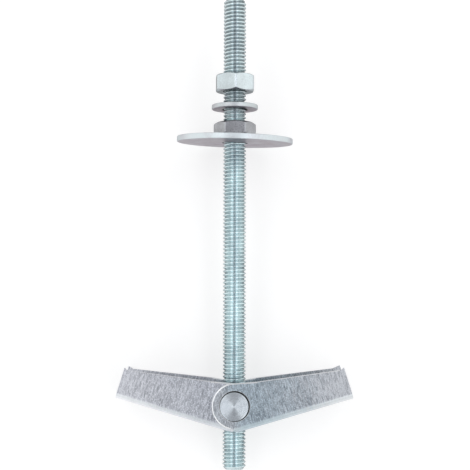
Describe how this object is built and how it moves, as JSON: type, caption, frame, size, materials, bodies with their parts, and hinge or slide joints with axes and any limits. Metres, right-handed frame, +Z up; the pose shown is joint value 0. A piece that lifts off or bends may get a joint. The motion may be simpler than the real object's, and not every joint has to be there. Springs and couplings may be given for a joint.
{
  "type": "spring toggle bolt",
  "caption": "Threaded rod with sprung folding wings on a cross nut, plus nuts and washers, for fixing through a hollow wall or ceiling.",
  "frame": {"origin": "on the floor under the middle of the rod, with the bolt lying as it comes to rest on the wide washer's rim, an ear and a wing tip", "axes": "+Y along the rod from the toggle towards the nuts, level; +Z up, near the pivot pin's line; +X to the right wing's side. The rod itself rises 5.37 degrees from +Y, because the wide washer lifts that end."},
  "size_m": [0.0502, 0.1008, 0.0249],
  "materials": {
    "zinc_rod": "bright zinc plated rolled thread, blue-green cast",
    "zinc_nut": "zinc plated cold-formed hex nut",
    "zinc_washer": "zinc plated blanked washer",
    "turned_steel": "turned and zinc plated steel with fine lathe rings on its ends",
    "spring_wire": "drawn spring wire",
    "zinc_sheet": "satin zinc plated pressed sheet, faintly mottled with fine cross streaks"
  },
  "bodies": {
    "rod": {"threaded_rod": "zinc_rod"},
    "outer_nut_body": {"outer_nut": "zinc_nut"},
    "small_washer_body": {"small_washer": "zinc_washer"},
    "inner_nut_body": {"inner_nut": "zinc_nut"},
    "wide_washer_body": {"wide_washer": "zinc_washer"},
    "toggle": {"cross_nut": "turned_steel", "torsion_spring": "spring_wire"},
    "left_wing_body": {"left_wing": "zinc_sheet"},
    "right_wing_body": {"right_wing": "zinc_sheet"}
  },
  "joints": [
    {"name": "toggle_travel", "type": "slide", "parent": "rod", "child": "toggle", "axis": [0, 0.9956, 0.0936], "range_m": [-0.009, 0.028]},
    {"name": "left_wing_fold", "type": "hinge", "parent": "toggle", "child": "left_wing_body", "pos_m": [0, -0.03684, 0.00708], "axis": [0.029, 0.0936, -0.9952], "range_deg": [0, 73.6], "stiffness_Nm_per_rad": 0.03, "springref_deg": -28.65, "deforming": ["torsion_spring"]},
    {"name": "right_wing_fold", "type": "hinge", "parent": "toggle", "child": "right_wing_body", "pos_m": [0, -0.03684, 0.00708], "axis": [-0.029, -0.0936, 0.9952], "range_deg": [0, 73.6], "stiffness_Nm_per_rad": 0.03, "springref_deg": -28.65, "deforming": ["torsion_spring"]},
    {"name": "inner_nut_travel", "type": "slide", "parent": "rod", "child": "inner_nut_body", "axis": [0, 0.9956, 0.0936], "range_m": [-0.028, 0.0026]},
    {"name": "wide_washer_slide", "type": "slide", "parent": "inner_nut_body", "child": "wide_washer_body", "axis": [0, 0.9956, 0.0936], "range_m": [-0.028, 0]},
    {"name": "small_washer_slide", "type": "slide", "parent": "rod", "child": "small_washer_body", "axis": [0, 0.9956, 0.0936], "range_m": [-0.0026, 0.0026]},
    {"name": "outer_nut_travel", "type": "slide", "parent": "rod", "child": "outer_nut_body", "axis": [0, 0.9956, 0.0936], "range_m": [-0.0026, 0.016]}
  ]
}
